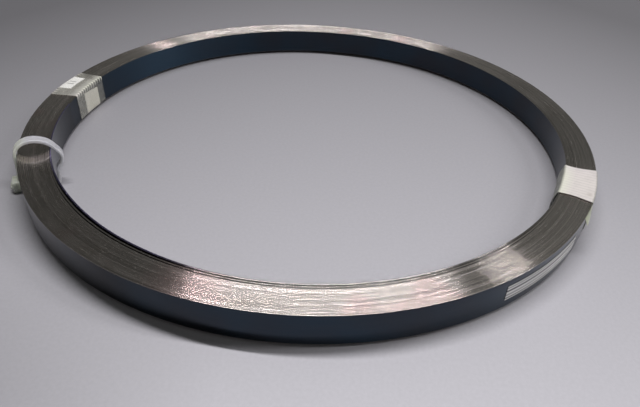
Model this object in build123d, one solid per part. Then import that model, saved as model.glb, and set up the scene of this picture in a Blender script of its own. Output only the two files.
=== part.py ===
from build123d import *
from math import degrees
import os

# A coil of blue tempered spring steel strip, lying flat, held by two wraps of strapping tape
# and one loose nylon tie. Millimetres, +Z up. The origin is on the coil's axis, on the floor.

# Coil of strip
strip_width = 12.7
strip_thickness = 0.635
turn_count = 20
turn_play = 0.005
loose_turn_count = 2
loose_gap = 0.2
loose_gap_depth = 0.9
bore_radius = 114.3
seam_depth = 0.2

# Nylon tie, one moulding: strap, head and trimmed tail
tie_angle = -156.3
tie_strap_thickness = 1.3
tie_strap_width = 4.8
tie_side_clearance = 0.5
tie_slack_height = 7.4
tie_slack_inward = 3.2
tie_corner_radius = 1.1
tie_head_length = 4.2
tie_head_width = 7.6
tie_head_height = 5.6
tie_head_rounding = 0.8
tie_head_gap = 0.4
tie_slot_height = 2.0
tie_slot_side_clearance = 0.4
tie_slot_depth = 1.0
tie_tail_reach = 0.8

# Strapping tape wraps, each closed round the coil's section
tape_width = 25.4
front_tape_angle = -22.4
front_tape_thickness = 0.5
rear_tape_angle = 170.0
rear_tape_thickness = 0.4
tape_edge_bevel = 0.25

# Folded paper tag under the rear tape
tag_angle = 169.4
tag_width = 12.7
tag_thickness = 0.2
tag_inner_drop = 1.6
tag_top_overlap = 6.4

# Paper label on the outer wall
label_start_angle = -57.2
label_length = 44.0
label_height = 6.2
label_thickness = 0.12

# Sizes that follow
coil_base = tie_strap_thickness
coil_top = coil_base + strip_width
tight_pitch = strip_thickness + turn_play
loose_pitch = strip_thickness + loose_gap
tight_turn_count = turn_count - loose_turn_count
tight_radius = bore_radius + loose_turn_count * loose_pitch
coil_depth = loose_turn_count * loose_pitch + tight_turn_count * tight_pitch
outer_radius = bore_radius + coil_depth
mean_radius = bore_radius + coil_depth / 2


def arc_degrees(length, radius):
    """Angle that a length spans along a circle of this radius."""
    return degrees(length / radius)


def turn_about_axis(face, start_angle, sweep):
    """Turns a face drawn in the XZ plane about Z, through sweep degrees from start_angle."""
    return Rot(0, 0, start_angle) * revolve(face, Axis.Z, sweep)


def section(r_low, r_high, z_low, z_high):
    """Rectangle in the XZ plane, from one radius and height to another."""
    centre = ((r_low + r_high) / 2, (z_low + z_high) / 2)
    return Plane.XZ * Pos(*centre) * Rectangle(r_high - r_low, z_high - z_low)


def end_profile():
    """One end of the coil, from bore to outer wall, as radius and depth below the strip's edge.

    The innermost turns have flat edges and stand apart, with a groove after each. The tight turns
    lean against each other in pairs, so that each seam between them is a ridge or a valley.
    """
    points = []
    for turn in range(loose_turn_count):
        inside = bore_radius + turn * loose_pitch
        outside = inside + strip_thickness
        points += [(inside, 0), (outside, 0), (outside + loose_gap / 2, loose_gap_depth)]
    for seam in range(tight_turn_count + 1):
        points.append((tight_radius + seam * tight_pitch, seam_depth * (seam % 2)))
    return points


def make_coil():
    """The wound strip as one turned solid with its bore, and its turns on both ends."""
    profile = end_profile()
    top_edge = [(radius, coil_top - depth) for radius, depth in profile]
    bottom_edge = [(radius, coil_base + depth) for radius, depth in profile]
    outline = Polyline(*(bottom_edge + top_edge[::-1]), close=True)
    return turn_about_axis(Plane.XZ * make_face(outline), 0, 360)


def make_tag():
    """Paper strip folded round the section: down the bore, under, up the outside and onto the top."""
    wrapped = section(
        bore_radius - tag_thickness,
        outer_radius + tag_thickness,
        coil_base - tag_thickness,
        coil_top + tag_thickness,
    )
    coil_section = section(bore_radius, outer_radius, coil_base, coil_top)
    open_top = section(
        bore_radius - 2 * tag_thickness,
        outer_radius - tag_top_overlap,
        coil_top - tag_inner_drop,
        coil_top + 2 * tag_thickness,
    )
    sweep = arc_degrees(tag_width, mean_radius)
    return turn_about_axis(wrapped - coil_section - open_top, tag_angle - sweep / 2, sweep)


def make_tape(angle, thickness):
    """Strapping tape as one closed band round the coil's section, snug on its walls and ends."""
    outside = section(
        bore_radius - thickness,
        outer_radius + thickness,
        coil_base - thickness,
        coil_top + thickness,
    )
    outside = chamfer(outside.vertices(), tape_edge_bevel)
    coil_section = section(bore_radius, outer_radius, coil_base, coil_top)
    sweep = arc_degrees(tape_width, mean_radius)
    return turn_about_axis(outside - coil_section, angle - sweep / 2, sweep)


def make_label():
    """Thin paper label, bent to the outer wall and centred on its height."""
    middle = (coil_base + coil_top) / 2
    patch = section(
        outer_radius,
        outer_radius + label_thickness,
        middle - label_height / 2,
        middle + label_height / 2,
    )
    return turn_about_axis(patch, label_start_angle, arc_degrees(label_length, outer_radius))


def tie_opening():
    """Inside of the tie's loop, drawn as radius and height: flat under the coil, bowed above it."""
    inner_side = bore_radius - tie_side_clearance
    outer_side = outer_radius + tie_side_clearance
    crown_inner = inner_side - tie_slack_inward
    spring_height = coil_top - tie_corner_radius
    crown_top = coil_top + tie_slack_height
    arch = ThreePointArc(
        (outer_side, spring_height),
        ((crown_inner + outer_side) / 2, crown_top),
        (crown_inner, spring_height),
    )
    legs = Polyline(
        (crown_inner, spring_height),
        (inner_side, coil_base + 2 * tie_corner_radius),
        (inner_side, coil_base),
        (outer_side, coil_base),
        (outer_side, spring_height),
    )
    return make_face([arch, legs])


def make_tie():
    """Nylon tie round the section: strap loop, head outside the coil at the floor, trimmed tail."""
    inside = tie_opening()
    band = offset(inside, amount=tie_strap_thickness, kind=Kind.ARC) - inside
    strap = extrude(Plane.XZ * band, amount=tie_strap_width / 2, both=True)

    head_inner = outer_radius + tie_head_gap
    head = Pos(head_inner + tie_head_length / 2, 0, tie_head_height / 2) * Box(
        tie_head_length, tie_head_width, tie_head_height
    )
    head = fillet(head.edges().filter_by(Axis.Z), tie_head_rounding)

    head_face = head_inner + tie_head_length
    slot_width = tie_strap_width + 2 * tie_slot_side_clearance
    slot_middle = tie_head_height / 2
    slot = Pos(head_face - tie_slot_depth / 2, 0, slot_middle) * Box(
        tie_slot_depth, slot_width, tie_slot_height
    )
    tail_length = tie_slot_depth + tie_tail_reach
    tail = Pos(head_face - tie_slot_depth + tail_length / 2, 0, slot_middle) * Box(
        tail_length, tie_strap_width, tie_strap_thickness
    )
    whole = strap + head - slot + tail
    return Rot(0, 0, tie_angle) * whole


def main():
    os.makedirs("parts", exist_ok=True)
    tag = make_tag()
    pieces = {
        "strip_coil": make_coil(),
        "front_tape_wrap": make_tape(front_tape_angle, front_tape_thickness),
        "rear_tape_wrap": make_tape(rear_tape_angle, rear_tape_thickness) - tag,
        "paper_tag": tag,
        "wall_label": make_label(),
        "nylon_tie": make_tie(),
    }
    for name, piece in pieces.items():
        export_step(piece, f"parts/{name}.step")


main()
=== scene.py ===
import math
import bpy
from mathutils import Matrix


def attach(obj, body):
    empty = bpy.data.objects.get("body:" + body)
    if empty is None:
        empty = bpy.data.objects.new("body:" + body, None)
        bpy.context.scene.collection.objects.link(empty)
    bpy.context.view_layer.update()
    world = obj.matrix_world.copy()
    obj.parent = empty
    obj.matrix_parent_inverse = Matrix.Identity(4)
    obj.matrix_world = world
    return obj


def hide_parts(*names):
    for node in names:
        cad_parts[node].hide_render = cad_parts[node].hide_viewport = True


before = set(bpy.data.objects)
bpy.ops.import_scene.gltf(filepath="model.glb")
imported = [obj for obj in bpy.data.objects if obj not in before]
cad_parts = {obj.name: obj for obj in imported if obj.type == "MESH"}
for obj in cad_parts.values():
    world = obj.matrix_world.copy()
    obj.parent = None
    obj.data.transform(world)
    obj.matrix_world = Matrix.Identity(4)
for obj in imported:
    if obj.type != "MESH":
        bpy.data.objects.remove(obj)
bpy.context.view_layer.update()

from types import SimpleNamespace

import bmesh
import bpy
import numpy as np
from mathutils import Matrix, noise

# A coil of blue tempered spring steel strip on a pale floor. Lengths are in millimetres until
# MM turns them into Blender's metres, and angles about the coil's axis are in degrees.
MM = 0.001

# Strip
STRIP_THICKNESS = 0.635
STRIP_PLAY = 0.012
STRIP_CORNER = 0.09
STEPS_PER_TURN = 240
LOOSE_GAPS = (0.40, 0.36)
LEFT_GAP, LEFT_GAP_MIDDLE = 0.40, -130.0
LEFT_GAP_FULL, LEFT_GAP_REACH = 10.0, 27.0
OUTWARD_PUSH = 0.17
OPEN_FROM, OPEN_TO = -146.0, -34.0
EDGE_WANDER = 0.09
EDGE_SINK = 0.03
EDGE_TILT = 0.045

# Tones painted on the steel by heading. They imitate how the photograph's light falls on it, so
# they stay in place under other light. Three or four numbers are a middle, two distances from it
# between which the tone fades out, and for the slit edges what it adds. Two numbers are headings
# between which the tone changes.
EDGE_LEVEL = 1.08
EDGE_TONES = (
    (-80.0, 26.0, 32.0, -0.20),
    (100.0, 36.0, 52.0, -0.06),
    (-4.0, 8.0, 18.0, -0.24),
    (38.0, 4.0, 16.0, 0.25),
)
PINK_END = (-106.5, 2.0, 8.0)
FIRST_TURN_FADE = (-116.0, -104.0)
BORE_STREAK = (142.0, 5.0, 32.0)
WALL_SHADE = (-126.0, 7.0, 15.0)
BORE_SHADE = (-172.0, -150.0)

# Strapping tape
FILAMENT_PITCH = 2.0
TAPE_STEP = 0.4
FRONT_TAPE_BODY, FRONT_TAPE_RIB = 0.38, 0.10
REAR_TAPE_BODY, REAR_TAPE_RIB = 0.20, 0.18
TAPE_BRIDGE = 3.5
CUT_EDGE_PLACE = 11.1
SMUDGE_RADIUS, SMUDGE_ANGLE = 125.4, -26.4
FLAP_LENGTH, FLAP_HEIGHT = 13.0, 3.4
FLAP_REACH, FLAP_THICKNESS = 1.5, 0.16

# Paper
TAG_DROP = 2.6
TAG_SLANT = 0.7
TAG_OVERLAP = 6.4
PAPER_IN, PAPER_OUT = 0.02, 0.10
PAPER_FADE = 0.3

# Nylon tie
TIE_WIDTH = 4.4
TIE_THICKNESS = 1.18
TIE_LEAN = 0.36
TIE_TOOTH_PITCH = 1.2
TIE_TOOTH_DEPTH = 0.22
TIE_HEAD_SIZE = (3.7, 6.6, 4.9)
TIE_HEAD_GAP = 0.42
TIE_HEAD_EDGE = 0.75
TIE_SLOT_SIZE = (1.0, 5.2, 1.9)

# Floor: the logarithm of its reflectance, and how it shifts over each 100 mm, painted to follow
# the photograph's uneven light
FLOOR_TONE = -1.03
FLOOR_X, FLOOR_XX = 0.055, -0.09
FLOOR_Y, FLOOR_YY = -0.27, -0.005
FLOOR_LOWEST, FLOOR_HIGHEST = -2.0, -0.5
FLOOR_CORNER_TONE = -0.36
FLOOR_FAR_FROM, FLOOR_FAR_TO, FLOOR_FAR_TONE = 400.0, 600.0, -0.35
FLOOR_RED, FLOOR_BLUE = 1.034, 1.09
FLOOR_HALF_SIZE = 6.0

# Light: a slanting row of two tubes, in metres, and their watts for each metre. The room's
# strength rises from its left to its right.
TUBES = (("near_tube", -0.48, 0.73), ("far_tube", 1.07, 2.70))
ROW_HEIGHT = 1.2
ROW_AWAY, ROW_SLANT = 0.20, -0.135
TUBE_WIDTH = 0.05
TUBE_POWER = 11.4
ROOM_LEFT, ROOM_RIGHT = -0.6, 0.7
ROOM_DIMMEST, ROOM_BRIGHTEST = 0.054, 0.190
ROOM_COLOUR = (0.97, 1.0, 0.94, 1.0)

# Camera
PHOTO_WIDTH = 640
FOCAL_PIXELS = 584.65
SENSOR = 36.0
CAMERA_PLACE = (6.01, -248.25, 142.38)
CAMERA_PITCH = 35.818
CAMERA_ROLL = 2.888


def smooth_step(low, high, x):
    """0 below low, 1 above high, and a smooth rise between them."""
    t = np.clip((x - low) / (high - low), 0.0, 1.0)
    return t * t * (3 - 2 * t)


def on_ring(radius, angle, height):
    """Point in millimetres at a radius, angle and height about the coil's axis."""
    turn = np.radians(angle)
    return np.stack([radius * np.cos(turn), radius * np.sin(turn), height + 0 * radius * turn], axis=-1)


def reach(node):
    """Radii, heights, middle angle and angular half width of a CAD node, in millimetres and degrees."""
    points = np.array([v.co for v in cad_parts[node].data.vertices]) / MM
    radius = np.hypot(points[:, 0], points[:, 1])
    heading = math.atan2(points[:, 1].mean(), points[:, 0].mean())
    turned = np.arctan2(points[:, 1], points[:, 0]) - heading
    turned = np.degrees((turned + math.pi) % (2 * math.pi) - math.pi)
    return SimpleNamespace(
        r_in=radius.min(),
        r_out=radius.max(),
        low=points[:, 2].min(),
        high=points[:, 2].max(),
        middle=math.degrees(heading) + (turned.min() + turned.max()) / 2,
        half=(turned.max() - turned.min()) / 2,
    )


coil = reach("strip_coil")
front_tape = reach("front_tape_wrap")
rear_tape = reach("rear_tape_wrap")
tag = reach("paper_tag")
label = reach("wall_label")
tie = reach("nylon_tie")


def new_piece(name, points, faces, materials, face_slots=None, sharp=None, values=None):
    """Mesh object from millimetre points, smooth shaded but for the sharp edges, riding on the part."""
    mesh = bpy.data.meshes.new(name)
    mesh.from_pydata((np.asarray(points) * MM).tolist(), [], faces)
    for material in materials:
        mesh.materials.append(material)
    if face_slots is not None:
        mesh.polygons.foreach_set("material_index", np.asarray(face_slots, np.int32))
    mesh.shade_smooth()
    if sharp is not None:
        ends = np.zeros(len(mesh.edges) * 2, np.int32)
        mesh.edges.foreach_get("vertices", ends)
        marks = mesh.attributes.new("sharp_edge", "BOOLEAN", "EDGE")
        marks.data.foreach_set("value", sharp(ends.reshape(-1, 2)))
    for key, numbers in (values or {}).items():
        layer = mesh.attributes.new(key, "FLOAT", "POINT")
        layer.data.foreach_set("value", np.asarray(numbers, np.float32).ravel())
    mesh.validate()
    piece = bpy.data.objects.new(name, mesh)
    bpy.context.scene.collection.objects.link(piece)
    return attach(piece, "root")


def grid_faces(rows, columns, start=0, close_columns=False, flip=False):
    """Quads over a grid of points kept row by row."""
    faces = []
    for i in range(rows - 1):
        for j in range(columns if close_columns else columns - 1):
            k = (j + 1) % columns
            a, b = start + i * columns + j, start + i * columns + k
            quad = (a, b, b + columns, a + columns)
            faces.append(quad[::-1] if flip else quad)
    return faces


def two_sheets(rows, columns):
    """Faces of two like grids of points, one behind the other and facing away from each other."""
    return grid_faces(rows, columns) + grid_faces(rows, columns, rows * columns, flip=True)


class Finish:
    """A material's node tree, with short calls for the nodes that the finishes share."""

    def __init__(self, name):
        self.material = bpy.data.materials.new(name)
        self.material.use_nodes = True
        self.tree = self.material.node_tree
        self.surface = self.tree.nodes["Principled BSDF"]

    def put(self, socket, value):
        if isinstance(value, bpy.types.NodeSocket):
            self.tree.links.new(value, socket)
        elif socket.type == "RGBA" and len(value) == 3:
            socket.default_value = (*value, 1.0)
        else:
            socket.default_value = value

    def node(self, kind, inputs=None, **settings):
        made = self.tree.nodes.new(kind)
        for key, value in settings.items():
            setattr(made, key, value)
        for key, value in (inputs or {}).items():
            self.put(made.inputs[key], value)
        return made

    def set(self, **values):
        """Sets sockets of the Principled shader; an underscore in a name stands for a space."""
        for key, value in values.items():
            self.put(self.surface.inputs[key.replace("_", " ")], value)

    def math(self, operation, *values):
        inputs = dict(enumerate(values))
        return self.node("ShaderNodeMath", inputs, operation=operation).outputs[0]

    def fit(self, value, low, high, to_low=0.0, to_high=1.0):
        """Value mapped from one range to another, and held inside it."""
        inputs = {"Value": value, "From Min": low, "From Max": high, "To Min": to_low, "To Max": to_high}
        return self.node("ShaderNodeMapRange", inputs).outputs["Result"]

    def mix(self, factor, a, b):
        """Colour between a and b."""
        made = self.node("ShaderNodeMix", data_type="RGBA")
        self.put(made.inputs[0], factor)
        self.put(made.inputs[6], a)
        self.put(made.inputs[7], b)
        return made.outputs[2]

    def place(self):
        """Object position in millimetres as x, y, z sockets, and the radius."""
        where = self.node("ShaderNodeTexCoord").outputs["Object"]
        scaled = self.node("ShaderNodeVectorMath", {0: where, 1: (1 / MM,) * 3}, operation="MULTIPLY")
        x, y, z = self.node("ShaderNodeSeparateXYZ", {0: scaled.outputs[0]}).outputs
        flat = self.math("SQRT", self.math("ADD", self.math("MULTIPLY", x, x), self.math("MULTIPLY", y, y)))
        return x, y, z, flat

    def heading(self, x, y):
        """Angle about the coil's axis in degrees, from -180 to 180."""
        return self.math("MULTIPLY", self.math("ARCTAN2", y, x), 180.0 / math.pi)

    def near(self, value, middle, inside, outside):
        """1 within one distance of a middle value, fading to 0 at a larger distance."""
        gap = self.math("ABSOLUTE", self.math("SUBTRACT", value, middle))
        return self.fit(gap, inside, outside, 1.0, 0.0)

    def vector(self, x, y, z):
        return self.node("ShaderNodeCombineXYZ", {0: x, 1: y, 2: z}).outputs[0]

    def noise(self, vector, scale=1.0, detail=2.0, roughness=0.5):
        inputs = {"Vector": vector, "Scale": scale, "Detail": detail, "Roughness": roughness}
        return self.node("ShaderNodeTexNoise", inputs).outputs["Fac"]

    def value_of(self, name):
        """A per-point number that the mesh code stored."""
        return self.node("ShaderNodeAttribute", attribute_name=name).outputs["Fac"]

    def bump(self, height, strength, distance):
        inputs = {"Height": height, "Strength": strength, "Distance": distance * MM}
        self.set(Normal=self.node("ShaderNodeBump", inputs).outputs["Normal"])

    def drawn_along_ring(self):
        """Turns the anisotropy so that scratches run round the coil."""
        tangent = self.node("ShaderNodeTangent", direction_type="RADIAL", axis="Z")
        self.set(Tangent=tangent.outputs[0])


def slit_edge_finish():
    """Bare slit steel on the strip's edges: fine lines round the coil, and a few flecks and pits.

    The painted light and shade are EDGE_TONES, the pink end of the front bright sector, which is a painted
    highlight, and the first turn's painted shade.
    """
    f = Finish("slit_edge")
    x, y, z, radius = f.place()
    heading = f.heading(x, y)
    turn = f.value_of("turn")
    xs, ys = f.math("MULTIPLY", x, 1 / 40.0), f.math("MULTIPLY", y, 1 / 40.0)
    lines = f.noise(f.vector(xs, ys, f.math("MULTIPLY", radius, 1.8)), detail=3.0, roughness=0.75)
    each_turn = f.math("MULTIPLY", f.math("FLOOR", turn), 7.3)
    slow_x, slow_y = f.math("MULTIPLY", x, 0.012), f.math("MULTIPLY", y, 0.012)
    own = f.noise(f.vector(each_turn, slow_x, slow_y), detail=0.0)
    speck = f.noise(f.vector(x, y, z), scale=2.6, detail=1.0)
    pits = f.noise(f.vector(y, z, x), scale=1.7, detail=2.0, roughness=0.7)
    stains = f.noise(f.vector(x, y, z), scale=0.10, detail=3.0)
    rainbow = f.noise(f.vector(x, y, z), scale=0.045, detail=1.0)
    tone = f.math("ADD", f.math("MULTIPLY", lines, 0.6), f.math("MULTIPLY", own, 0.6))
    steel = f.mix(f.fit(tone, 0.42, 0.78), (0.43, 0.39, 0.37), (0.77, 0.70, 0.68))
    # Painted highlight: pink near heading -106.5 degrees, where the front bright sector ends, joined with
    # random pink patches.
    tint_with_painted_highlight = f.math("MAXIMUM", f.near(heading, *PINK_END), f.fit(rainbow, 0.57, 0.68, 0.0, 0.7))
    steel = f.mix(f.math("MULTIPLY", tint_with_painted_highlight, 0.6), steel, (0.64, 0.46, 0.46))
    steel = f.mix(f.fit(stains, 0.55, 0.75, 0.0, 0.3), steel, (0.42, 0.36, 0.31))
    steel = f.mix(f.fit(speck, 0.35, 0.65, 0.0, 0.24), steel, (0.22, 0.20, 0.18))
    steel = f.mix(f.fit(pits, 0.70, 0.76, 0.0, 0.8), steel, (0.10, 0.09, 0.08))
    # Painted light and shade: the edges are made darker or lighter by heading with EDGE_TONES.
    painted_light_level = EDGE_LEVEL
    for middle, full, faded, amount in EDGE_TONES:
        painted_light_level = f.math("ADD", painted_light_level, f.math("MULTIPLY", f.near(heading, middle, full, faded), amount))
    steel = f.node("ShaderNodeVectorMath", {0: steel, "Scale": painted_light_level}, operation="SCALE").outputs[0]
    fleck = f.fit(speck, 0.70, 0.74)
    steel = f.mix(fleck, steel, (0.30, 0.28, 0.25))
    # Painted shade: the innermost turn's edge is made darker, blue-violet at headings below -116 degrees and
    # dark grey above -104.
    first = f.fit(turn, 0.86, 1.0, 1.0, 0.0)
    left = f.fit(heading, *FIRST_TURN_FADE, 1.0, 0.0)
    first_turn_painted_shade = f.mix(left, (0.10, 0.10, 0.11), (0.40, 0.36, 0.66))
    steel = f.mix(f.math("MULTIPLY", first, f.fit(heading, *FIRST_TURN_FADE, 0.9, 0.35)), steel, first_turn_painted_shade)
    f.set(Base_Color=steel, Anisotropic=1.0, Anisotropic_Rotation=0.25)
    f.set(Metallic=f.math("SUBTRACT", 1.0, f.math("MULTIPLY", fleck, 0.8)))
    f.set(Roughness=f.fit(lines, 0.3, 0.7, 0.21, 0.28))
    f.bump(f.math("ADD", lines, f.math("MULTIPLY", speck, 0.04)), 0.5, 0.03)
    f.drawn_along_ring()
    return f.material


def blued_wall_finish():
    """Polished blue tempered face of the strip, with rolling lines along its length.

    The painted tones are a pale streak of painted reflection and a painted shade in the bore, and a painted
    shade on the outer wall.
    """
    f = Finish("blued_wall")
    x, y, z, radius = f.place()
    heading = f.heading(x, y)
    bore = f.fit(radius, coil.r_in + 1.0, coil.r_in + 2.0, 1.0, 0.0)
    outside = f.math("SUBTRACT", 1.0, bore)
    xs, ys = f.math("MULTIPLY", x, 1 / 20.0), f.math("MULTIPLY", y, 1 / 20.0)
    lines = f.noise(f.vector(xs, ys, f.math("MULTIPLY", z, 2.4)), detail=3.0, roughness=0.6)
    clouds = f.noise(f.vector(x, y, z), scale=0.035, detail=2.0)
    scuffs = f.noise(f.vector(x, y, z), scale=0.5, detail=3.0, roughness=0.6)
    blue = f.mix(f.fit(clouds, 0.35, 0.65), (0.035, 0.040, 0.050), (0.029, 0.048, 0.069))
    blue = f.mix(f.fit(lines, 0.4, 0.75, 0.0, 0.35), blue, (0.046, 0.053, 0.065))
    # Painted reflection: a pale blue streak on the bore wall near heading 142 degrees.
    streak = f.math("MULTIPLY", bore, f.near(heading, *BORE_STREAK))
    blue = f.mix(f.math("MULTIPLY", streak, 0.8), blue, (0.05, 0.085, 0.125))
    # Painted shade: a nearly black band on the outer wall near heading -126 degrees, and a darker bore at
    # headings below -150.
    dim = f.math("MULTIPLY", outside, f.near(heading, *WALL_SHADE))
    dim = f.math("MAXIMUM", dim, f.math("MULTIPLY", bore, f.fit(heading, *BORE_SHADE, 0.6, 0.0)))
    blue = f.mix(f.math("MULTIPLY", dim, 0.7), blue, (0.008, 0.008, 0.010))
    f.set(Base_Color=blue, Metallic=1.0, Anisotropic=0.4, Anisotropic_Rotation=0.25)
    f.set(Roughness=f.fit(f.math("ADD", lines, scuffs), 0.7, 1.3, 0.10, 0.19))
    f.bump(f.math("ADD", lines, f.math("MULTIPLY", scuffs, 0.5)), 0.05, 0.02)
    f.drawn_along_ring()
    return f.material


def smudged(f, x, y, middle):
    """How dirty a point is: a small smudge about a place on the tape."""
    off_x, off_y = f.math("SUBTRACT", x, float(middle[0])), f.math("SUBTRACT", y, float(middle[1]))
    off = f.math("SQRT", f.math("ADD", f.math("MULTIPLY", off_x, off_x), f.math("MULTIPLY", off_y, off_y)))
    return f.fit(off, 0.4, 1.6, 0.55, 0.0)


def over_what_lies_below(f, cover, loose):
    """The film's alpha: it shows less over the paper tag, and most where it has come loose."""
    paper_below = f.math("MULTIPLY", f.value_of("over_paper"), -0.75)
    cover = f.math("MULTIPLY", cover, f.math("ADD", 1.0, paper_below))
    cover = f.math("MAXIMUM", cover, f.math("MULTIPLY", loose, 0.9))
    return f.math("MINIMUM", cover, 1.0)


def tape_finish(name, clear_colour, layers, cover_side, cover_top, thin_end):
    """Clear film over glass filaments, white where it lies in several layers on the top, a white that is
    partly painted light from above.

    The mesh stores the place across the tape in millimetres, how much a point lies on the top,
    how near it is to a corner of the coil's section, where the filaments stand up, whether paper
    lies under it, and whether it is the loose flap. Where there are no layers, only its inner
    corner is pale, with its ribs painted as glints on the filaments.
    """
    f = Finish(name)
    x, y, z, radius = f.place()
    across, on_top, at_corner = f.value_of("across"), f.value_of("on_top"), f.value_of("at_corner")
    inner_side = f.fit(radius, coil.r_in + 0.5, coil.r_in + 4.5, 1.0, 0.0)
    wander = f.math("MULTIPLY", f.noise(f.vector(x, y, z), scale=0.12, detail=1.0), 0.5)
    phase = f.math("MULTIPLY", f.math("ADD", across, wander), 2 * math.pi / FILAMENT_PITCH)
    ridge = f.fit(f.math("COSINE", phase), -0.5, 0.6)
    valley = f.fit(f.math("COSINE", phase), -0.75, -1.0)
    along_top, along_side = f.math("MULTIPLY", radius, 0.2), f.math("MULTIPLY", z, 0.2)
    fibres = f.noise(f.vector(f.math("MULTIPLY", across, 5.0), along_top, along_side), detail=2.0)
    haze = f.noise(f.vector(x, y, z), scale=0.3, detail=3.0, roughness=0.6)
    film = f.mix(f.fit(haze, 0.35, 0.7, 0.0, 0.35), clear_colour, (0.62, 0.61, 0.55))
    cream = f.mix(inner_side, (0.75, 0.69, 0.67), (0.80, 0.79, 0.69))
    cream = f.mix(f.fit(across, 2.0, 12.0, 0.0, 0.5), cream, (0.74, 0.66, 0.69))
    white = f.mix(f.fit(fibres, 0.3, 0.7), f.mix(0.14, cream, (0.35, 0.33, 0.31)), cream)
    band = f.math("MULTIPLY", f.math("MULTIPLY", on_top, inner_side), 0.65)
    # Painted glints and light: ribs at the corners are made pale, and where there are layers the whole top is
    # made white while the sides stay film.
    corner = f.math("MULTIPLY", f.math("MULTIPLY", ridge, at_corner), 1.0 - layers)
    pale = f.math("MAXIMUM", corner, f.math("MULTIPLY", on_top, layers))
    pale = f.math("MAXIMUM", pale, band)
    colour = f.mix(pale, film, white)
    colour = f.mix(f.math("MULTIPLY", valley, 0.5), colour, (0.40, 0.38, 0.36))
    cut_edge = f.math("MULTIPLY", f.near(across, CUT_EDGE_PLACE, 0.1, 0.6), 0.7 * layers)
    colour = f.mix(cut_edge, colour, (0.62, 0.62, 0.57))
    loose = f.value_of("loose")
    colour = f.mix(loose, colour, f.mix(fibres, (0.42, 0.45, 0.30), (0.66, 0.68, 0.52)))
    smudge = on_ring(SMUDGE_RADIUS, SMUDGE_ANGLE, 0.0) if layers else (0.0, 0.0, 0.0)
    colour = f.mix(f.math("MULTIPLY", smudged(f, x, y, smudge), fibres), colour, (0.20, 0.15, 0.10))
    f.set(Base_Color=colour, Roughness=f.fit(haze, 0.3, 0.7, 0.28, 0.4), Coat_Weight=0.2, Coat_Roughness=0.2)
    cover = f.math("ADD", cover_side, f.math("MULTIPLY", on_top, cover_top - cover_side))
    cover = f.math("MULTIPLY", cover, f.fit(across, -9.0, -4.0, thin_end, 1.0))
    cover = f.math("ADD", cover, f.math("MULTIPLY", f.math("MAXIMUM", corner, band), 0.65))
    cover = f.math("ADD", cover, f.fit(haze, 0.35, 0.7, -0.06, 0.06))
    f.set(Alpha=over_what_lies_below(f, cover, loose))
    f.bump(f.math("ADD", f.math("MULTIPLY", fibres, 0.5), haze), 0.3, 0.06)
    return f.material


def paper_finish(name, base, shade, rules):
    """Uncoated paper with fine fibres, and plain grey rules across a stored number in millimetres."""
    f = Finish(name)
    x, y, z = f.place()[:3]
    fibres = f.noise(f.vector(x, y, z), scale=2.2, detail=4.0, roughness=0.65)
    blotches = f.noise(f.vector(x, y, z), scale=0.16, detail=2.0)
    colour = f.mix(f.fit(blotches, 0.3, 0.7), shade, base)
    # Painted light: where the stored value is 1, on the coil's top, the paper is made whiter.
    colour = f.mix(f.value_of("painted_top_light"), colour, (0.90, 0.885, 0.87))
    colour = f.mix(f.fit(fibres, 0.5, 0.8, 0.0, 0.2), colour, (0.5, 0.48, 0.42))
    place = f.value_of("rule_place")
    for middle, width, ink in rules:
        near = f.math("ABSOLUTE", f.math("SUBTRACT", place, middle))
        line = f.fit(near, width / 2 - 0.12, width / 2 + 0.12, 1.0, 0.0)
        gate = f.math("MULTIPLY", line, f.value_of("rule_show"))
        colour = f.mix(gate, colour, ink)
    f.set(Base_Color=colour, Roughness=0.72)
    f.bump(fibres, 0.3, 0.04)
    return f.material


def nylon_finish():
    """Natural nylon: milky and a little see-through, lavender grey above; painted light makes it paler and
    more green on the outside, and painted shade darkens it near the floor.
    """
    f = Finish("natural_nylon")
    x, y, z, radius = f.place()
    cloud = f.noise(f.vector(x, y, z), scale=0.25, detail=2.0)
    fine = f.noise(f.vector(x, y, z), scale=2.6, detail=2.0)
    milk = f.mix(cloud, (0.50, 0.49, 0.545), (0.57, 0.56, 0.60))
    # Painted light: the tie is made paler and more green towards the outside of the coil.
    outside_painted_light = f.fit(radius, coil.r_out - 5.0, coil.r_out + 1.0, 0.0, 0.85)
    milk = f.mix(outside_painted_light, milk, (0.90, 0.95, 0.72))
    # Painted shade: blotchy olive darkening below 6.5 mm, towards the floor.
    low_painted_shade = f.math("MULTIPLY", f.fit(fine, 0.45, 0.65), f.fit(z, 6.5, 4.0, 0.0, 0.4))
    milk = f.mix(low_painted_shade, milk, (0.16, 0.17, 0.10))
    f.set(Base_Color=milk, Roughness=f.fit(fine, 0.3, 0.7, 0.30, 0.42), IOR=1.53, Transmission_Weight=0.1)
    f.set(Subsurface_Weight=0.8, Subsurface_Radius=(1.0, 1.0, 0.9), Subsurface_Scale=0.006)
    f.bump(fine, 0.12, 0.03)
    return f.material


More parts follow.
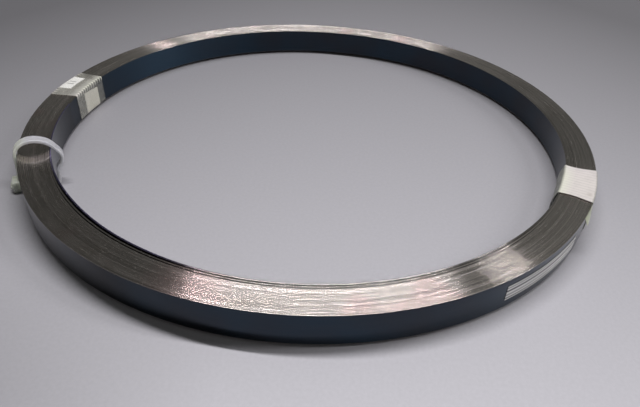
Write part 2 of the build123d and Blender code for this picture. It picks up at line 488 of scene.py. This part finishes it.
def floor_finish():
    """Matte floor: a grey with painted light and shade, shifting as the photograph's does, with a fine grain.
    """
    f = Finish("pale_floor")
    x, y, z, radius = f.place()
    across, away = f.math("DIVIDE", x, 100.0), f.math("DIVIDE", y, 100.0)
    bend_x, bend_y = f.math("MULTIPLY", across, across), f.math("MULTIPLY", away, away)
    # Painted light and shade: the tone falls off across the floor and is darker in the front left corner.
    tone = FLOOR_TONE
    for term, weight in ((across, FLOOR_X), (bend_x, FLOOR_XX), (away, FLOOR_Y), (bend_y, FLOOR_YY)):
        tone = f.math("ADD", tone, f.math("MULTIPLY", term, weight))
    corner = f.math("MULTIPLY", f.fit(across, -0.2, -1.0), f.fit(away, -1.0, -1.5))
    tone = f.math("ADD", tone, f.math("MULTIPLY", corner, FLOOR_CORNER_TONE))
    tone = f.math("MINIMUM", f.math("MAXIMUM", tone, FLOOR_LOWEST), FLOOR_HIGHEST)
    far = f.fit(radius, FLOOR_FAR_FROM, FLOOR_FAR_TO)
    close = f.math("MULTIPLY", tone, f.math("SUBTRACT", 1.0, far))
    tone = f.math("ADD", close, f.math("MULTIPLY", far, FLOOR_FAR_TONE))
    grain = f.noise(f.vector(x, y, z), scale=0.8, detail=2.0, roughness=0.6)
    tone = f.math("ADD", tone, f.fit(grain, 0.3, 0.7, -0.03, 0.03))
    grey = f.math("EXPONENT", tone)
    red, blue = f.math("MULTIPLY", grey, FLOOR_RED), f.math("MULTIPLY", grey, FLOOR_BLUE)
    parts = {"Red": red, "Green": grey, "Blue": blue}
    f.set(Base_Color=f.node("ShaderNodeCombineColor", parts).outputs[0], Roughness=0.55)
    return f.material


def slack(angle):
    """How far the innermost turns have sprung open at an angle, from 0 to 1."""
    at = (np.asarray(angle) + 180.0) % 360.0 - 180.0
    return smooth_step(OPEN_FROM - 8, OPEN_FROM + 14, at) * (1 - smooth_step(OPEN_TO - 22, OPEN_TO + 6, at))


# The strip starts on the inside under the front tape and winds outward, clockwise from above, to
# its end under the rear tape.
STRIP_START = front_tape.middle
STRIP_SPAN = 19 * 360.0 + (front_tape.middle - rear_tape.middle) % 360.0
STRIP_PITCH = (coil.r_out - coil.r_in - STRIP_THICKNESS) / (STRIP_SPAN / 360.0)


def strip_inside(wound):
    """Radius of the strip's inner face after it has been wound through this many degrees."""
    angle = STRIP_START - wound
    turn = wound / 360.0
    first, second = 1 - smooth_step(0.90, 1.0, turn), 1 - smooth_step(1.90, 2.0, turn)
    off_left = np.abs((angle - LEFT_GAP_MIDDLE + 180.0) % 360.0 - 180.0)
    opening = (LOOSE_GAPS[0] * first + LOOSE_GAPS[1] * second - OUTWARD_PUSH) * slack(angle)
    opening = opening + LEFT_GAP * first * smooth_step(LEFT_GAP_REACH, LEFT_GAP_FULL, off_left)
    return coil.r_in + STRIP_PITCH * turn - opening


def inner_radius(angle):
    """Radius of the coil's bore at an angle."""
    return strip_inside((STRIP_START - angle) % 360.0)


def outer_radius(angle):
    """Radius of the coil's outer wall at an angle."""
    back = (STRIP_START - STRIP_SPAN - angle) % 360.0
    wound = STRIP_SPAN - (360.0 - back) % 360.0
    return strip_inside(wound) + STRIP_THICKNESS


def strip_profile():
    """Points round the strip's section, as depth from its inner face and height above its middle.

    Each slit edge is crowned and turns into the faces through a small radius.
    """
    t, c, half = STRIP_THICKNESS - STRIP_PLAY, STRIP_CORNER, (coil.high - coil.low) / 2
    rise = [(0.0, half - 1.4 * c), (0.22 * c, half - 0.62 * c), (c, half - 0.22 * c)]
    edge = rise + [(t / 2, half)] + [(t - depth, height) for depth, height in rise[::-1]]
    return np.array(edge + [(depth, -height) for depth, height in edge[::-1]])


def make_strip():
    """The whole strip as one spiral band of steel, from its inner end to its outer end."""
    profile = strip_profile()
    size = len(profile)
    steps = int(STRIP_SPAN / 360.0 * STEPS_PER_TURN) + 1
    wound = np.linspace(0.0, STRIP_SPAN, steps)
    turn = np.floor(wound / 360.0)
    slow = [noise.fractal((w / 95.0, 3.7, 0.0), 1.0, 2.0, 3) for w in wound]
    settle = [noise.noise((n * 5.13, w / 700.0, 9.1)) for n, w in zip(turn, wound)]
    lean = [noise.noise((n * 7.31, w / 500.0, 21.4)) for n, w in zip(turn, wound)]
    lift = EDGE_WANDER * (0.5 * np.array(slow) + np.array(settle)) - EDGE_SINK
    tilt = 2 * EDGE_TILT * np.array(lean)[:, None] * (profile[None, :, 0] / STRIP_THICKNESS - 0.5)
    radius = strip_inside(wound)[:, None] + profile[None, :, 0]
    angle = np.repeat((STRIP_START - wound)[:, None], size, axis=1)
    height = (coil.low + coil.high) / 2 + profile[None, :, 1] + lift[:, None] + tilt
    faces = grid_faces(steps, size, close_columns=True)
    wall_sides = (size // 2 - 1, size - 1)
    slots = [1 if i % size in wall_sides else 0 for i in range(len(faces))]
    faces += [tuple(range(size))[::-1], tuple(range((steps - 1) * size, steps * size))]
    slots += [0, 0]
    corners = [0, size // 2 - 1, size // 2, size - 1]
    piece = new_piece(
        "spring_steel_strip",
        on_ring(radius, angle, height).reshape(-1, 3),
        faces,
        [slit_edge_finish(), blued_wall_finish()],
        slots,
        sharp=lambda ends: np.isin(ends[:, 0] % size, corners) & (ends[:, 0] % size == ends[:, 1] % size),
        values={"turn": np.repeat(wound / 360.0, size)},
    )
    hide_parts("strip_coil")


def bridged(radius_at, angle, widest):
    """Radius of a wall at an angle, drawn smoothly across the step where the strip ends."""
    near = np.arange(-TAPE_BRIDGE, TAPE_BRIDGE + 0.1, 0.5)
    return float(widest(radius_at(angle + near[:, None] + near[None, :]), axis=1).mean())


# How far the tape's filaments stand out at the section's corners: outside top, outside bottom,
# bore bottom and bore top.
CORNER_SHOW = (0.6, 0.15, 0.15, 1.0)


def section_path(angle, corner, step):
    """Points round the coil's section at an angle, as radius and height, from the bore's top corner
    over the top: each with its outward direction, how much it is on top, and how near a corner."""
    inside = bridged(inner_radius, angle, np.min)
    outside = bridged(outer_radius, angle, np.max)
    left, right, low, high = inside + corner, outside - corner, coil.low + corner, coil.high - corner
    sides = [
        ((left, high), (right, high), (0, 1)),
        ((right, high), (right, low), (1, 0)),
        ((right, low), (left, low), (0, -1)),
        ((left, low), (left, high), (-1, 0)),
    ]
    count, bends, near = int((coil.high - coil.low) / step), 5, 2.0
    path = []
    for index, (a, b, way) in enumerate(sides):
        before, after = CORNER_SHOW[index - 1], CORNER_SHOW[index]
        for k in range(count + 1):
            f = k / count
            spot = (a[0] + (b[0] - a[0]) * f + way[0] * corner, a[1] + (b[1] - a[1]) * f + way[1] * corner)
            edge = min(f, 1 - f) * (coil.high - coil.low)
            show = (before if f < 0.5 else after) * max(0.0, 1 - edge / near)
            path.append((*spot, *way, 1.0 if index == 0 else 0.0, show))
        turn_to = sides[(index + 1) % 4][2]
        for k in range(1, bends):
            blend = k / bends
            c, s = math.cos(blend * math.pi / 2), math.sin(blend * math.pi / 2)
            turned = (way[0] * c + turn_to[0] * s, way[1] * c + turn_to[1] * s)
            on_top = 1 - blend if index == 0 else blend if index == 3 else 0.0
            path.append((b[0] + turned[0] * corner, b[1] + turned[1] * corner, *turned, on_top, after))
    return path


def over_paper(angle, r, z, on_top):
    """1 where the paper tag lies under the tape, and 0 beside it."""
    mean = (coil.r_in + coil.r_out) / 2
    side = (angle - tag.middle + 180.0) % 360.0 - 180.0
    inside = smooth_step(PAPER_FADE, -PAPER_FADE, (abs(side) - tag.half) * math.radians(mean))
    if on_top > 0.5:
        return inside * smooth_step(-PAPER_FADE, PAPER_FADE, r - (coil.r_out - TAG_OVERLAP))
    if r < mean:
        lip = coil.high - TAG_DROP + TAG_SLANT * side / tag.half
        return inside * smooth_step(PAPER_FADE, -PAPER_FADE, z - lip)
    return inside


def loose_end(place, mean, v_edge):
    """The tape's free end: a narrow flap that starts at the coil's top edge and stands off the
    outer wall at its foot, more so the further it is from the tape."""
    along, up = 16, 7
    points = []
    for side in (0.0, FLAP_THICKNESS):
        for i in range(along):
            f = i / (along - 1)
            turn = place.middle + math.degrees((v_edge + 1.0 - FLAP_LENGTH * f) / mean)
            wall = float(outer_radius(turn))
            for j in range(up):
                g = j / (up - 1)
                high = coil.high + 0.1 + 0.2 * noise.noise((f * 7.0, 2.0, 7.7))
                low = high - FLAP_HEIGHT + 0.9 * f
                out = 0.05 + FLAP_REACH * (1 - g) * (0.3 + 0.7 * f)
                points.append((wall + out + side, turn, low + (high - low) * g))
    return points, two_sheets(along, up)


def band_faces(columns, count):
    """Faces of a closed band: its outer and inner faces, and the thickness along both cut edges."""
    shift = columns * count
    faces = grid_faces(columns, count, 0, True, flip=True) + grid_faces(columns, count, shift, True)
    for start, flip in ((0, False), ((columns - 1) * count, True)):
        for k in range(count):
            a, b = start + k, start + (k + 1) % count
            quad = (a, b, b + shift, a + shift)
            faces.append(quad[::-1] if flip else quad)
    return faces


def make_tape(node, place, name, finish, body, rib, seed, corner, trim, top_bow=0.0, belly=0.0,
              paper=False, flap=False):
    """Strapping tape wound round the section, with an outer face ribbed by its filaments.

    trim shortens its two edges, top_bow curves them on the top, and belly lifts the film off
    the bore wall. paper says that the tag lies under it, and flap that its end has come loose.
    """
    mean = (coil.r_in + coil.r_out) / 2
    half_width = math.radians(place.half) * mean
    first, last = -half_width + trim[0], half_width - trim[1]
    columns = int((last - first) / TAPE_STEP) + 1
    outer, inner, stored = [], [], []
    for v in np.linspace(first, last, columns):
        edge = abs(2 * (v - first) / (last - first) - 1)
        angle = place.middle + math.degrees(v / mean)
        path = section_path(angle, corner, 0.5)
        for k, (r, z, way_r, way_z, on_top, at_corner) in enumerate(path):
            wave = noise.noise((k * 0.055, v * 0.08 + seed, 1.7 + seed))
            ripple = noise.noise((k * 0.25, v * 0.6 + seed, 5.2))
            crest = 0.5 + 0.5 * math.cos(2 * math.pi * (v + 0.25 * wave) / FILAMENT_PITCH)
            raised = rib * crest * (0.35 + 0.65 * at_corner) * (1 - edge ** 12)
            share = min(max((z - coil.low) / (coil.high - coil.low), 0.0), 1.0)
            off_wall = belly * max(-way_r, 0.0) * math.sin(math.pi * share)
            thick = off_wall + body + raised + 0.03 * ripple
            shift = 0.4 * wave * edge ** 3 * math.copysign(1, v)
            shift -= top_bow * on_top * edge ** 4 * math.sin(math.pi * min(k, 25) / 25) * math.copysign(1, v)
            turn = place.middle + math.degrees((v + shift) / mean)
            covered = over_paper(turn, r, z, on_top) if paper else 0.0
            seat = off_wall + 0.02 + 0.10 * covered
            outer.append((r + way_r * thick, turn, z + way_z * thick))
            inner.append((r + way_r * seat, turn, z + way_z * seat))
            stored.append((v, on_top, at_corner, covered, 0.0))
    faces = band_faces(columns, len(path))
    places, stored = outer + inner, stored + stored
    if flap:
        extra, extra_faces = loose_end(place, mean, first)
        faces += [tuple(i + len(places) for i in face) for face in extra_faces]
        places += extra
        stored += [(first, 0.0, 0.0, 0.0, 1.0)] * len(extra)
    polar, stored = np.array(places), np.array(stored)
    points = on_ring(polar[:, 0], polar[:, 1], polar[:, 2])
    values = dict(zip(("across", "on_top", "at_corner", "over_paper", "loose"), stored.T))
    piece = new_piece(name, points, faces, [finish], values=values)
    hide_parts(node)


def tag_path(angle, slant):
    """The tag's way round the section at an angle: radius, height, outward direction, and 1 on top."""
    inside, outside = float(inner_radius(angle)), bridged(outer_radius, angle, np.max)
    corner = 0.35
    path = [(inside, z, -1.0, 0.0, 0.0) for z in np.linspace(coil.high - TAG_DROP + slant, coil.low, 14)]
    path += [(r, coil.low, 0.0, -1.0, 0.0) for r in np.linspace(inside, outside, 14)]
    path += [(outside, z, 1.0, 0.0, 0.0) for z in np.linspace(coil.low, coil.high - corner, 14)]
    for k in range(1, 5):
        c, s = math.cos(k * math.pi / 10), math.sin(k * math.pi / 10)
        path.append((outside - corner + corner * c, coil.high - corner + corner * s, c, s, 0.5))
    path += [(r, coil.high, 0.0, 1.0, 1.0) for r in np.linspace(outside - corner, outside - TAG_OVERLAP, 22)]
    return path


def make_tag():
    """Cream paper under the rear tape: up the bore wall, and from the outside onto the top."""
    mean = (coil.r_in + coil.r_out) / 2
    half_width = math.radians(tag.half) * mean
    columns = 33
    finish = paper_finish(
        "tag_paper", (0.88, 0.85, 0.77), (0.82, 0.79, 0.69),
        [(5.0, 0.8, (0.40, 0.39, 0.40)), (7.4, 0.8, (0.34, 0.33, 0.34))],
    )
    outer, inner, stored = [], [], []
    for v in np.linspace(-half_width, half_width, columns):
        angle = tag.middle + math.degrees(v / mean)
        for r, z, way_r, way_z, on_top in tag_path(angle, TAG_SLANT * v / half_width):
            outer.append((r + way_r * PAPER_OUT, angle, z + way_z * PAPER_OUT))
            inner.append((r + way_r * PAPER_IN, angle, z + way_z * PAPER_IN))
            depth = coil.r_out - r
            ruled = on_top * float(smooth_step(1.2, 1.5, depth) * (1 - smooth_step(4.8, 5.1, depth)))
            # The third value marks the top, where the tag's paper gets painted light.
            stored.append((v + half_width, ruled, on_top))
    faces = two_sheets(columns, len(outer) // columns)
    polar, stored = np.array(outer + inner), np.array(stored + stored)
    values = dict(zip(("rule_place", "rule_show", "painted_top_light"), stored.T))
    points = on_ring(polar[:, 0], polar[:, 1], polar[:, 2])
    piece = new_piece("folded_paper_tag", points, faces, [finish], values=values)
    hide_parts("paper_tag")


def make_label():
    """White label bent to the outer wall, with plain rules along it."""
    finish = paper_finish(
        "label_paper", (0.86, 0.85, 0.83), (0.78, 0.77, 0.75),
        [(0.75, 0.55, (0.16, 0.15, 0.17)), (2.2, 0.5, (0.30, 0.29, 0.31)),
         (4.0, 0.7, (0.10, 0.09, 0.12)), (5.4, 0.4, (0.30, 0.29, 0.31))],
    )
    columns, rows = 90, 16
    points, place = [], []
    for i in range(columns):
        angle = label.middle + label.half * (2 * i / (columns - 1) - 1)
        wall = float(outer_radius(angle))
        for j in range(rows):
            height = label.low + (label.high - label.low) * j / (rows - 1)
            points.append((wall + PAPER_OUT, angle, height))
            place.append(height - label.low)
    polar = np.array(points)
    outer = on_ring(polar[:, 0], polar[:, 1], polar[:, 2])
    inner = on_ring(polar[:, 0] - (PAPER_OUT - PAPER_IN), polar[:, 1], polar[:, 2])
    faces = two_sheets(columns, rows)
    count = 2 * len(place)
    values = {"rule_place": place * 2, "rule_show": np.ones(count), "painted_top_light": np.zeros(count)}
    piece = new_piece("outer_wall_label", np.vstack([outer, inner]), faces, [finish], values=values)
    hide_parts("wall_label")


# The inner face of the tie's loop, from the head up the outer wall, over the top and down the
# bore to the underside: radius beyond the bore and height above the floor.
TIE_INSIDE = (
    (13.5, 4.2), (13.42, 8.0), (13.38, 11.5), (13.25, 14.3), (12.5, 15.9), (11.0, 17.2), (8.9, 17.95),
    (6.6, 18.1), (4.6, 17.8), (2.4, 17.1), (0.5, 16.0), (-1.2, 14.2), (-2.5, 12.5), (-3.0, 11.0),
    (-2.6, 9.3), (-1.5, 7.9), (-0.6, 6.6), (-0.3, 5.0), (-0.28, 3.4), (-0.05, 1.9), (0.9, 1.27),
    (3.0, 1.22), (7.0, 1.22), (11.0, 1.22), (14.0, 1.35), (16.0, 1.9),
)


def smooth_path(corners, step):
    """Points about a step apart on the smooth curve through the corners."""
    c = np.array(corners, float)
    c = np.vstack([2 * c[0] - c[1], c, 2 * c[-1] - c[-2]])
    path = []
    for i in range(1, len(c) - 2):
        count = max(2, int(np.linalg.norm(c[i + 1] - c[i]) / step))
        for t in np.arange(count)[:, None] / count:
            bend = 2 * c[i - 1] - 5 * c[i] + 4 * c[i + 1] - c[i + 2]
            swing = 3 * c[i] - 3 * c[i + 1] + c[i + 2] - c[i - 1]
            path.append(c[i] + 0.5 * t * (c[i + 1] - c[i - 1] + t * (bend + t * swing)))
    return np.array(path + [c[-2]])


def tie_strap():
    """The strap: rounded edges, a shallow channel along its back, and teeth along its inner face."""
    path = smooth_path([(coil.r_in + r, z) for r, z in TIE_INSIDE], 0.15)
    along = np.gradient(path, axis=0)
    length = np.linalg.norm(along, axis=1)
    along /= length[:, None]
    outward = np.stack([-along[:, 1], along[:, 0]], axis=1)
    outward *= -1 if outward[0, 0] < 0 else 1
    s = np.cumsum(length)
    w, t, edge = TIE_WIDTH / 2, TIE_THICKNESS, 0.3
    section = [
        (-w, edge), (-w + 0.1, 0.1), (-w + edge, 0.0), (-1.52, 0.0), (-1.45, -1.0), (0.0, -1.0), (1.45, -1.0),
        (1.52, 0.0), (w - edge, 0.0), (w - 0.1, 0.1), (w, edge), (w, t - edge), (w - 0.1, t - 0.1),
        (w - edge, t), (0.9, t), (0.75, t - 0.07), (-0.75, t - 0.07), (-0.9, t), (-w + edge, t),
        (-w + 0.1, t - 0.1), (-w, t - edge),
    ]
    tooth = TIE_TOOTH_DEPTH * ((s / TIE_TOOTH_PITCH) % 1.0)
    tooth *= smooth_step(6.0, 8.0, s)
    points = []
    for place, way, cut in zip(path, outward, tooth):
        for side, depth in section:
            out = cut if depth < 0 else depth
            height = place[1] + way[1] * out
            points.append((place[0] + way[0] * out, side - TIE_LEAN * height, height))
    faces = grid_faces(len(path), len(section), close_columns=True)
    size, last = len(section), (len(path) - 1) * len(section)
    faces += [tuple(range(size))[::-1], tuple(range(last, last + size))]
    return np.array(points), faces


def rounded_block(size, middle, edge, slot=None):
    """A block with rounded edges, and where asked a slot cut into its +X face."""
    shape = bmesh.new()
    bmesh.ops.create_cube(shape, size=1.0)
    bmesh.ops.scale(shape, vec=size, verts=shape.verts)
    if slot:
        front = max(shape.faces, key=lambda face: face.calc_center_median().x)
        bmesh.ops.inset_individual(shape, faces=[front], thickness=0.4)
        deep, wide, high = slot
        for v in front.verts:
            v.co.y = math.copysign(wide / 2, v.co.y)
            v.co.z = math.copysign(high / 2, v.co.z)
        hole = bmesh.ops.extrude_face_region(shape, geom=[front])
        inner = [v for v in hole["geom"] if isinstance(v, bmesh.types.BMVert)]
        bmesh.ops.translate(shape, vec=(-deep, 0, 0), verts=inner)
        bmesh.ops.delete(shape, geom=[front], context="FACES_ONLY")
    hull = [e for e in shape.edges if all(
        abs(abs(v.co.x) - size[0] / 2) < 1e-6 and abs(abs(v.co.y) - size[1] / 2) < 1e-6
        and abs(abs(v.co.z) - size[2] / 2) < 1e-6 for v in e.verts)]
    bmesh.ops.bevel(shape, geom=hull, offset=edge, segments=4, profile=0.5, affect="EDGES")
    bmesh.ops.translate(shape, vec=middle, verts=shape.verts)
    shape.verts.index_update()
    points = np.array([v.co[:] for v in shape.verts])
    faces = [tuple(v.index for v in face.verts) for face in shape.faces]
    shape.free()
    return points, faces


def make_tie():
    """Nylon tie, one moulding: strap loop, head with its slot and pawl, and the trimmed tail."""
    deep, high = TIE_HEAD_SIZE[0], TIE_HEAD_SIZE[2]
    head_in = coil.r_out + TIE_HEAD_GAP
    slot_deep, slot_wide = TIE_SLOT_SIZE[:2]
    side = -TIE_LEAN * high / 2
    tail = (slot_deep + 0.7, TIE_WIDTH, TIE_THICKNESS)
    parts = [
        tie_strap(),
        rounded_block(TIE_HEAD_SIZE, (head_in + deep / 2, side, high / 2), TIE_HEAD_EDGE, TIE_SLOT_SIZE),
        rounded_block(tail, (head_in + deep - slot_deep + tail[0] / 2, side, high / 2 - 0.3), 0.15),
        rounded_block((0.7, slot_wide - 1.2, 0.5), (head_in + deep - 0.55, side, high / 2 + 0.6), 0.12),
    ]
    points, faces, start = [], [], 0
    for own_points, own_faces in parts:
        points.append(own_points)
        faces += [tuple(i + start for i in face) for face in own_faces]
        start += len(own_points)
    flat = np.vstack(points)
    turn = math.radians(tie.middle)
    x = flat[:, 0] * math.cos(turn) - flat[:, 1] * math.sin(turn)
    y = flat[:, 0] * math.sin(turn) + flat[:, 1] * math.cos(turn)
    piece = new_piece("nylon_cable_tie", np.stack([x, y, flat[:, 2]], axis=1), faces, [nylon_finish()])
    piece.data.set_sharp_from_angle(angle=math.radians(40))
    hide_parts("nylon_tie")


def make_floor():
    """Floor that the coil lies on, wide enough to fill the photograph's frame."""
    mesh = bpy.data.meshes.new("floor")
    size = FLOOR_HALF_SIZE
    corners = [(-size, -size, 0), (size, -size, 0), (size, size, 0), (-size, size, 0)]
    mesh.from_pydata(corners, [], [(0, 1, 2, 3)])
    mesh.materials.append(floor_finish())
    floor = bpy.data.objects.new("floor", mesh)
    bpy.context.scene.collection.objects.link(floor)


def make_camera():
    """Camera at the place, pitch and roll that the photograph was taken from."""
    data = bpy.data.cameras.new("photo_camera")
    data.sensor_width = SENSOR
    data.lens = FOCAL_PIXELS / PHOTO_WIDTH * SENSOR
    data.clip_start = 0.01
    data.clip_end = 50.0
    camera = bpy.data.objects.new("photo_camera", data)
    bpy.context.scene.collection.objects.link(camera)
    pitch, roll = math.radians(CAMERA_PITCH), math.radians(CAMERA_ROLL)
    right = np.array([1.0, 0.0, 0.0])
    up = np.array([0.0, math.sin(pitch), math.cos(pitch)])
    turned_right = right * math.cos(roll) + up * math.sin(roll)
    turned_up = up * math.cos(roll) - right * math.sin(roll)
    back = np.cross(turned_right, turned_up)
    matrix = np.eye(4)
    matrix[:3, 0], matrix[:3, 1], matrix[:3, 2] = turned_right, turned_up, back
    matrix[:3, 3] = np.array(CAMERA_PLACE) * MM
    camera.matrix_world = Matrix(matrix.tolist())
    bpy.context.scene.camera = camera


def make_lamp(name, x_from, x_to, power):
    """Ceiling tube over the floor, facing down, between two places along the row in metres."""
    data = bpy.data.lights.new(name, "AREA")
    data.shape = "RECTANGLE"
    data.size = (x_to - x_from) * math.hypot(1.0, ROW_SLANT)
    data.size_y = TUBE_WIDTH
    data.energy = power
    lamp = bpy.data.objects.new(name, data)
    bpy.context.scene.collection.objects.link(lamp)
    middle = (x_from + x_to) / 2
    lamp.location = (middle, ROW_AWAY + ROW_SLANT * middle, ROW_HEIGHT)
    lamp.rotation_euler = (0.0, 0.0, math.atan(ROW_SLANT))


def make_light():
    """Two ceiling tubes end to end, a little behind the coil, and a dim room that is lighter to the right."""
    for name, x_from, x_to in TUBES:
        make_lamp(name, x_from, x_to, TUBE_POWER * (x_to - x_from))
    world = bpy.data.worlds.new("dim_room")
    world.use_nodes = True
    tree = world.node_tree
    background = tree.nodes["Background"]
    where = tree.nodes.new("ShaderNodeTexCoord")
    split = tree.nodes.new("ShaderNodeSeparateXYZ")
    tree.links.new(where.outputs["Generated"], split.inputs[0])
    side = tree.nodes.new("ShaderNodeMapRange")
    side.inputs["From Min"].default_value = ROOM_LEFT
    side.inputs["From Max"].default_value = ROOM_RIGHT
    side.inputs["To Min"].default_value = ROOM_DIMMEST
    side.inputs["To Max"].default_value = ROOM_BRIGHTEST
    tree.links.new(split.outputs[0], side.inputs["Value"])
    tree.links.new(side.outputs["Result"], background.inputs["Strength"])
    background.inputs["Color"].default_value = ROOM_COLOUR
    bpy.context.scene.world = world


make_camera()
make_floor()
make_light()
make_strip()
front_film = tape_finish(
    "front_tape_film", (0.27, 0.28, 0.225), layers=1.0, cover_side=0.66, cover_top=1.0, thin_end=1.0
)
make_tape(
    "front_tape_wrap", front_tape, "front_strapping_tape", front_film, FRONT_TAPE_BODY, FRONT_TAPE_RIB,
    seed=0.0, corner=0.5, trim=(-0.5, 1.6), top_bow=0.7, belly=1.2, flap=True,
)
rear_film = tape_finish(
    "rear_tape_film", (0.50, 0.49, 0.45), layers=0.0, cover_side=0.40, cover_top=0.36, thin_end=0.55
)
make_tape(
    "rear_tape_wrap", rear_tape, "rear_strapping_tape", rear_film, REAR_TAPE_BODY, REAR_TAPE_RIB,
    seed=4.0, corner=0.35, trim=(0.0, 0.0), paper=True,
)
make_tag()
make_label()
make_tie()

bpy.context.scene.view_settings.view_transform = "Standard"
